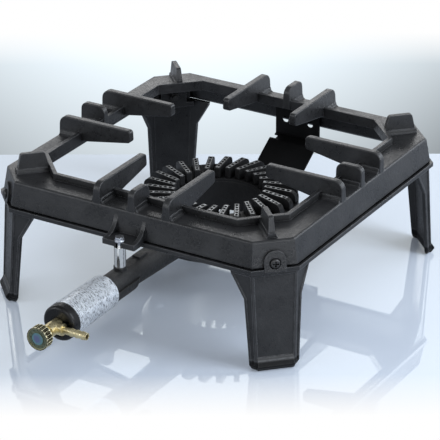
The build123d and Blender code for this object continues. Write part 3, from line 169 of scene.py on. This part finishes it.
class Shade(Nodes):
    """One procedural material: a surface shader, and patterns placed by the object's own frame."""

    def __init__(self, name):
        self.mat = bpy.data.materials.new(name)
        self.mat.use_nodes = True
        super().__init__(self.mat.node_tree)
        self.out = self.add("ShaderNodeOutputMaterial")
        self.bsdf = self.add("ShaderNodeBsdfPrincipled")
        self.put(self.out.inputs["Surface"], self.bsdf.outputs["BSDF"])
        self.at = self.add("ShaderNodeTexCoord").outputs["Object"]

    def set(self, **inputs):
        """Sets the surface shader's inputs: base_color is Base Color, and so on."""
        for key, value in inputs.items():
            name = {"ior_level": "Specular IOR Level", "coat": "Coat Weight"}.get(key)
            name = name or key.replace("_", " ").title()
            self.put(self.bsdf.inputs[name], with_alpha(value))

    def old_colour(self):
        """What the surface's colour comes from now."""
        return self.bsdf.inputs["Base Color"].links[0].from_socket

    def noise(self, scale, detail=3.0, rough=0.55, at=None, warp=0.0):
        inputs = {"Vector": at or self.at, "Scale": scale, "Detail": detail}
        inputs.update({"Roughness": rough, "Distortion": warp})
        return self.add("ShaderNodeTexNoise", inputs).outputs["Fac"]

    def about_tube_axis(self):
        """Distance from the tube's axis, and the angle round it."""
        x, _, z = self.split(self.at)
        rise = self.math("SUBTRACT", z, TUBE_AXIS_Z)
        squares = self.math("ADD", self.math("POWER", x, 2), self.math("POWER", rise, 2))
        return self.math("SQRT", squares), self.math("ARCTAN2", rise, x)

    def rounded(self, radius):
        """Normal rounded over the edges."""
        return self.add("ShaderNodeBevel", {"Radius": radius}, samples=6).outputs["Normal"]

    def facing(self):
        """Normal of the face itself."""
        return self.add("ShaderNodeNewGeometry").outputs["True Normal"]


def cast_iron(name, dark, light, gloss, edge, edge_share=0.5, grain=1.0, round_by=0.0014, shine=0.5):
    """Satin black paint over a fine sand casting, worn thin on the edges with a painted highlight
    there, and with painted shade in the creases.
    """
    s = Shade(name)
    cloud = s.noise(28, 4, 0.6)
    fine = s.noise(900, 2, 0.6)
    coarse = s.noise(260, 3, 0.6)
    tone = s.span(s.math("ADD", cloud, s.times(fine, 0.8)), 0.7, 1.12)
    paint = s.mix(tone, dark, light)
    rounded = s.rounded(round_by)
    near = s.span(s.dot(rounded, s.facing()), 0.995, 0.8)
    edge_wear_and_highlight = s.times(near, s.span(s.noise(120, 3), 0.35, 0.60, 0.35, 1.0))
    # painted shade: where the AO finds little open room, in creases, the paint darkens to near black
    # and its sheen drops
    open_to = s.add("ShaderNodeAmbientOcclusion", {"Distance": 0.007}, samples=6).outputs["AO"]
    crease = s.span(open_to, 0.35, 0.85)
    edge_wear_and_highlight = s.times(edge_wear_and_highlight, crease)
    paint = s.mix(crease, (0.0015, 0.0015, 0.0016), paint)
    # the edges turn grey: partly the paint worn thin, partly a painted highlight along the rims
    s.set(base_color=s.mix(s.times(edge_wear_and_highlight, edge_share), paint, edge))
    s.set(roughness=s.span(s.math("ADD", cloud, coarse), 0.75, 1.25, gloss - 0.1, gloss + 0.12))
    s.set(ior_level=s.times(crease, shine))
    first = s.bump(coarse, 0.55 * grain, 0.0005, rounded)
    s.set(normal=s.bump(fine, 0.55 * grain, 0.0003, first))
    return s


def plated(name, colour, shade, rough, edge_by=0.0004):
    """Plated steel with faint clouding."""
    s = Shade(name)
    cloud = s.noise(420, 4, 0.6)
    s.set(base_color=s.mix(s.span(cloud, 0.35, 0.65), shade, colour), metallic=1.0)
    s.set(roughness=s.span(s.noise(900, 2), 0.3, 0.7, rough - 0.05, rough + 0.08))
    s.set(normal=s.bump(s.noise(1500, 2), 0.1, 0.0001, s.rounded(edge_by)))
    return s


def brass(name, colour, stain, rough, edge_by=0.0005):
    """Turned brass with fine tool lines and a light tarnish."""
    s = Shade(name)
    x, y, z = s.split(s.at)
    stretched = s.join(s.times(x, 2500), s.times(y, 2500), s.times(z, 120))
    lines = s.noise(1, 3, 0.6, at=stretched)
    cloud = s.noise(160, 4, 0.65)
    s.set(base_color=s.mix(s.span(cloud, 0.42, 0.68), colour, stain), metallic=1.0)
    s.set(roughness=s.span(s.noise(500, 3), 0.3, 0.7, rough - 0.07, rough + 0.1))
    s.set(normal=s.bump(lines, 0.18, 0.00012, s.rounded(edge_by)))
    return s


FRAME_DARK = (0.0105, 0.0108, 0.0115)
FRAME_LIGHT = (0.026, 0.0266, 0.0282)
# greys that the edges take: worn paint with a painted highlight
EDGE_GREY = (0.155, 0.16, 0.17)
DIM_EDGE = (0.05, 0.05, 0.052)
DIMMER_EDGE = (0.04, 0.04, 0.042)


def make_leg_iron():
    """The frame's iron, with painted shade near the floor and a painted highlight line just above
    that.
    """
    s = cast_iron(
        "leg_iron", FRAME_DARK, FRAME_LIGHT, 0.36, EDGE_GREY,
        edge_share=0.95, grain=1.2, round_by=0.0018,
    )
    height = s.split(s.at)[2]
    # painted shade: a band near the floor goes near black and loses its sheen; painted highlight: a
    # grey line just above it
    band = s.band(height, FOOT_DARK_FROM, FOOT_DARK_TO)
    line = s.band(height, FOOT_LINE_FROM, FOOT_LINE_TO)
    line = s.times(line, s.span(s.noise(180, 3), 0.35, 0.6, 0.3, 1.0))
    painted_foot_shade = s.mix(s.times(band, 0.65), s.old_colour(), (0.003, 0.003, 0.0032))
    s.set(base_color=s.mix(line, painted_foot_shade, (0.07, 0.073, 0.078)))
    s.set(ior_level=s.times(s.math("SUBTRACT", 1.0, s.times(band, 0.7)), 0.5))
    return s


def make_head_iron():
    """Dark iron, with bare ground metal on the crowns of the ridges, and a painted highlight on them
    toward the front right.
    """
    s = cast_iron(
        "head_iron", (0.007, 0.007, 0.0075), (0.013, 0.013, 0.0135), 0.5, DIMMER_EDGE,
        grain=1.5, round_by=0.0006,
    )
    up = s.split(s.facing())[2]
    x, y, height = s.split(s.at)
    crown = s.times(s.span(height, CROWN_Z - CROWN_FADE, CROWN_Z), s.span(up, 0.9, 0.99))
    # distance of a point from the middle line of its ridge
    radius = s.math("SQRT", s.math("ADD", s.times(x, x), s.times(y, y)))
    swirl = s.math("ARCSINE", s.math("DIVIDE", RIDGE_SWIRL, radius))
    angle = s.math("SUBTRACT", s.math("ARCTAN2", y, x), swirl)
    steps = s.math("DIVIDE", s.math("SUBTRACT", angle, RIDGE_FIRST), RIDGE_STEP)
    astray = s.times(s.math("SUBTRACT", steps, s.math("ROUND", steps)), RIDGE_STEP)
    beside = s.math("ABSOLUTE", s.times(astray, radius))
    crown = s.times(crown, s.span(beside, *BARE_HALF, 1.0, 0.0))
    # worn unevenly; a painted highlight makes them brightest toward the front right
    crown = s.times(crown, s.span(s.noise(260, 3), 0.38, 0.55, 0.2, 1.0))
    crown = s.times(crown, s.span(s.math("SUBTRACT", y, x), -0.10, 0.05, 1.0, 0.45))
    s.set(base_color=s.mix(crown, s.old_colour(), (0.62, 0.63, 0.63)))
    s.set(metallic=s.times(crown, 0.35))
    return s


def make_knob_brass():
    """Brass with a dull face and a knurl of bright crests and dark grooves, every second one darker.
    """
    s = brass("knob_brass", (0.60, 0.57, 0.37), (0.34, 0.32, 0.19), 0.42)
    reach, round_axis = s.about_tube_axis()
    y = s.split(s.at)[1]
    face = s.times(s.span(reach, *KNOB_FACE_R, 1.0, 0.0), s.span(y, *KNOB_FACE_Y))
    colour = s.mix(face, s.old_colour(), (0.20, 0.225, 0.16))
    groove = s.band(reach, GROOVE_FROM, GROOVE_TO)
    colour = s.mix(groove, colour, (0.02, 0.018, 0.010))
    colour = s.mix(s.span(reach, *CREST_FROM), colour, (0.92, 0.86, 0.60))
    alternate_dark = s.span(s.math("COSINE", s.times(round_axis, KNURL_COUNT / 2)), -0.1, 0.5)
    alternate_dark = s.times(alternate_dark, s.span(reach, *ALTERNATE_DARK_FROM))
    s.set(base_color=s.mix(s.times(alternate_dark, 0.85), colour, (0.045, 0.038, 0.020)))
    return s


def make_packing_rubber():
    """Dull black rubber."""
    s = Shade("packing_rubber")
    s.set(base_color=s.mix(s.noise(400), (0.012, 0.012, 0.012), (0.03, 0.03, 0.03)), roughness=0.75)
    return s


def make_disc_plastic():
    """Semi-gloss plastic, violet blue in the middle and teal at the edge."""
    s = Shade("disc_plastic")
    tint = s.noise(170, 2, 0.5, warp=0.6)
    reach = s.math("ADD", s.about_tube_axis()[0], s.times(tint, DISC_MOTTLE))
    s.set(base_color=s.mix(s.span(reach, *DISC_BLEND), (0.085, 0.105, 0.215), (0.085, 0.20, 0.22)))
    s.set(roughness=s.span(s.noise(700), 0.3, 0.7, 0.25, 0.4), coat=0.3)
    return s


def make_foil():
    """Thin metal foil round the tube: mottled, with fine broken streaks that run round it."""
    s = Shade("foil")
    y = s.split(s.at)[1]
    arc = s.times(s.about_tube_axis()[1], FOIL_ARC_R)
    streaks = s.noise(1, 2, 0.6, at=s.join(s.times(arc, 230), s.times(y, 950), 0.0))
    patches = s.noise(1, 3, 0.6, at=s.join(s.times(arc, 90), s.times(y, 110), 3.0))
    grey = s.mix(s.span(patches, 0.35, 0.7), (0.90, 0.95, 1.0), (0.66, 0.71, 0.77))
    marks = s.times(s.span(streaks, 0.53, 0.58), s.span(patches, 0.36, 0.52, 0.35, 1.0))
    dots = s.times(s.span(s.noise(650, 2, 0.7), 0.58, 0.64), 0.45)
    grey = s.mix(s.math("MAXIMUM", marks, dots), grey, (0.09, 0.10, 0.12))
    s.set(base_color=grey, metallic=0.5)
    s.set(roughness=s.span(patches, 0.3, 0.7, 0.27, 0.38))
    s.set(normal=s.bump(s.noise(500, 3), 0.35, 0.0002))
    return s


SLOT_SHADES = {
    "frame_iron": cast_iron("frame_iron", FRAME_DARK, FRAME_LIGHT, 0.34, EDGE_GREY, edge_share=0.75),
    "leg_iron": make_leg_iron(),
    "burner_iron": cast_iron(
        "burner_iron", (0.009, 0.009, 0.0095), (0.016, 0.016, 0.0165), 0.5, DIM_EDGE, grain=1.6,
    ),
    "head_iron": make_head_iron(),
    "black_screw": cast_iron(
        "black_screw", (0.02, 0.02, 0.02), (0.05, 0.05, 0.05), 0.38, (0.22, 0.22, 0.22),
        edge_share=0.9, grain=0.5, round_by=0.0005,
    ),
    "zinc_steel": plated("zinc_steel", (0.70, 0.72, 0.75), (0.50, 0.52, 0.56), 0.26),
    "chrome_steel": plated("chrome_steel", (0.97, 0.97, 0.94), (0.86, 0.86, 0.83), 0.16),
    "foil": make_foil(),
    "shutter_paint": cast_iron(
        "shutter_paint", (0.004, 0.004, 0.0045), (0.008, 0.008, 0.0085), 0.3, DIM_EDGE,
        edge_share=0.3, grain=0.35, round_by=0.0006, shine=0.35,
    ),
    "valve_brass": brass("valve_brass", (0.88, 0.77, 0.47), (0.56, 0.46, 0.24), 0.30),
    "knob_brass": make_knob_brass(),
    "packing_rubber": make_packing_rubber(),
    "disc_plastic": make_disc_plastic(),
    "bracket_paint": cast_iron(
        "bracket_paint", (0.0025, 0.0025, 0.0027), (0.005, 0.005, 0.0055), 0.5, DIMMER_EDGE,
        grain=0.4, round_by=0.0006, shine=0.2,
    ),
}
for part in frame["record"]["subparts"]:
    node = NODES[part["node"]]
    node.data.materials.clear()
    node.data.materials.append(SLOT_SHADES[part["material_slot"]].mat)

# ---------------------------------------------------------------- floor and backdrop
FLOOR_HALF = 9.0
FLOOR_Z = -0.0002
EDGE_AWAY = 0.352                   # the glossy table ends this far behind the centre
NEAR_FADE = (-0.275, -0.372)        # in front of the centre it turns white between these
BACKDROP_TOP = 0.82                 # the backdrop's tone is settled this far behind the centre
BACKDROP_MID = -0.045               # where it is brightest, across the view
BACKDROP_HALF = 0.327               # from there to its dim sides
BACKDROP_CURVE = 1.8                # how late it dims toward them
BACKDROP_MOST = 1.2                 # and where that stops
MIDDLE_GLOW = (0.75, 1.17)          # its strength at the table's edge and farthest back
SIDE_GLOW = (0.40, 0.90)
WHITE_RISE = (0.7, 0.98)            # it turns white over this share of its depth

floor_mesh = bpy.data.meshes.new("floor")
SQUARE = ((-1, -1), (1, -1), (1, 1), (-1, 1))
corners = [(sx * FLOOR_HALF, sy * FLOOR_HALF, FLOOR_Z) for sx, sy in SQUARE]
floor_mesh.from_pydata(corners, [], [(0, 1, 2, 3)])
floor = bpy.data.objects.new("floor", floor_mesh)
bpy.context.scene.collection.objects.link(floor)

table = Shade("table")
seen = table.add("ShaderNodeLightPath").outputs["Is Camera Ray"]
away = table.dot(table.at, tuple(AWAY))
across = table.dot(table.at, tuple(ACROSS))

# a pale glossy table: what it mirrors comes on top of its own colour
table.set(base_color=(0.56, 0.62, 0.71), roughness=0.9, ior_level=0.0)
mirror = table.add("ShaderNodeBsdfGlossy", {"Color": (0.98, 0.99, 0.93, 1), "Roughness": 0.02})
gloss = table.add("ShaderNodeAddShader")
table.put(gloss.inputs[0], table.bsdf.outputs[0])
table.put(gloss.inputs[1], mirror.outputs[0])
bounce = table.add("ShaderNodeBsdfDiffuse", {"Color": (0.40, 0.43, 0.48, 1)})
top = table.blend(seen, bounce.outputs[0], gloss.outputs[0])
# the near part fades to a painted white glow
white = table.add("ShaderNodeEmission", {"Color": (1, 1, 1, 1), "Strength": 1.0})
near_fade = table.span(away, *NEAR_FADE)
top = table.blend(table.times(near_fade, seen), top, white.outputs[0])
# beyond the table's edge a glowing backdrop shows, painted light brightest in the middle and white at
# the top
rise = table.span(away, EDGE_AWAY, BACKDROP_TOP)
aside = table.math("ABSOLUTE", table.math("SUBTRACT", across, BACKDROP_MID))
aside = table.math("DIVIDE", aside, BACKDROP_HALF)
aside = table.math("MINIMUM", table.math("POWER", aside, BACKDROP_CURVE), BACKDROP_MOST)
middle = table.span(rise, 0, 1, *MIDDLE_GLOW)
edge = table.span(rise, 0, 1, *SIDE_GLOW)
glow = table.math("SUBTRACT", middle, table.times(aside, table.math("SUBTRACT", middle, edge)))
wall = table.add("ShaderNodeEmission", {"Color": (0.905, 1.0, 1.065, 1), "Strength": glow})
wall = table.blend(table.span(rise, *WHITE_RISE), wall.outputs[0], white.outputs[0])
matte = table.add("ShaderNodeBsdfDiffuse", {"Color": (0.75, 0.78, 0.82, 1)})
beyond = table.blend(seen, matte.outputs[0], wall)
whole = table.blend(table.math("GREATER_THAN", away, EDGE_AWAY), top, beyond)
table.put(table.out.inputs["Surface"], whole)
floor_mesh.materials.append(table.mat)

# ---------------------------------------------------------------- light
SKY_RISE = (0.10, 0.38)             # upward part of a direction, near the horizon and overhead
SKY_GLOW = (0.9, 0.28)              # strength of the surroundings there
LAMP_AIM = Vector((0, 0, 0.1))

world = bpy.data.worlds.new("world")
bpy.context.scene.world = world
world.use_nodes = True
sky = Nodes(world.node_tree)
fill = sky.add("ShaderNodeBackground", {"Color": (0.93, 0.96, 1.0, 1), "Strength": 0.5})
# seen or mirrored, the surroundings are bright near the horizon and dim overhead
upward = sky.split(sky.add("ShaderNodeTexCoord").outputs["Generated"])[2]
sky_strength = sky.span(upward, *SKY_RISE, *SKY_GLOW)
shown = sky.add("ShaderNodeBackground", {"Color": (0.90, 0.94, 1.0, 1), "Strength": sky_strength})
ray = sky.add("ShaderNodeLightPath")
seen_or_mirrored = sky.math("MAXIMUM", ray.outputs["Is Camera Ray"], ray.outputs["Is Glossy Ray"])
world_out = sky.add("ShaderNodeOutputWorld")
sky.put(world_out.inputs["Surface"], sky.blend(seen_or_mirrored, fill.outputs[0], shown.outputs[0]))


def softbox(name, at, size, power, colour):
    """Area lamp that faces the middle of the range."""
    data = bpy.data.lights.new(name, "AREA")
    data.shape = "RECTANGLE"
    data.size, data.size_y = size
    data.energy = power
    data.color = colour
    lamp = bpy.data.objects.new(name, data)
    bpy.context.scene.collection.objects.link(lamp)
    lamp.location = at
    aim = LAMP_AIM - Vector(at)
    lamp.rotation_mode = "QUATERNION"
    lamp.rotation_quaternion = aim.to_track_quat("-Z", "Y")
    return lamp


# the first two give the iron its sheen; they light the range alone, so the table doesn't mirror them
LAMPS = (
    ("rear_lamp", (-0.65, 1.10, 0.62), (2.2, 0.45), 6.5, (1, 1, 1)),
    ("corner_card", (1.9, -1.2, 0.45), (0.8, 0.6), 6.5, (0.93, 0.96, 1.0)),
    ("right_lamp", (1.7, 0.2, 1.3), (0.9, 1.1), 26, (0.86, 0.92, 1.0)),
    ("side_card", (1.0, 1.5, 0.6), (1.4, 0.7), 10, (0.86, 0.92, 1.0)),
    ("left_lamp", (-1.3, -1.6, 0.8), (1.2, 0.9), 8, (0.93, 0.96, 1.0)),
    ("front_lamp", (0.7, -2.4, 1.7), (1.5, 1.0), 14, (0.95, 0.97, 1.0)),
)
lamps = [softbox(*row) for row in LAMPS]
iron = bpy.data.collections.new("lit_by_low_lamps")
for node in NODES.values():
    iron.objects.link(node)
for lamp in lamps[:2]:
    lamp.light_linking.receiver_collection = iron
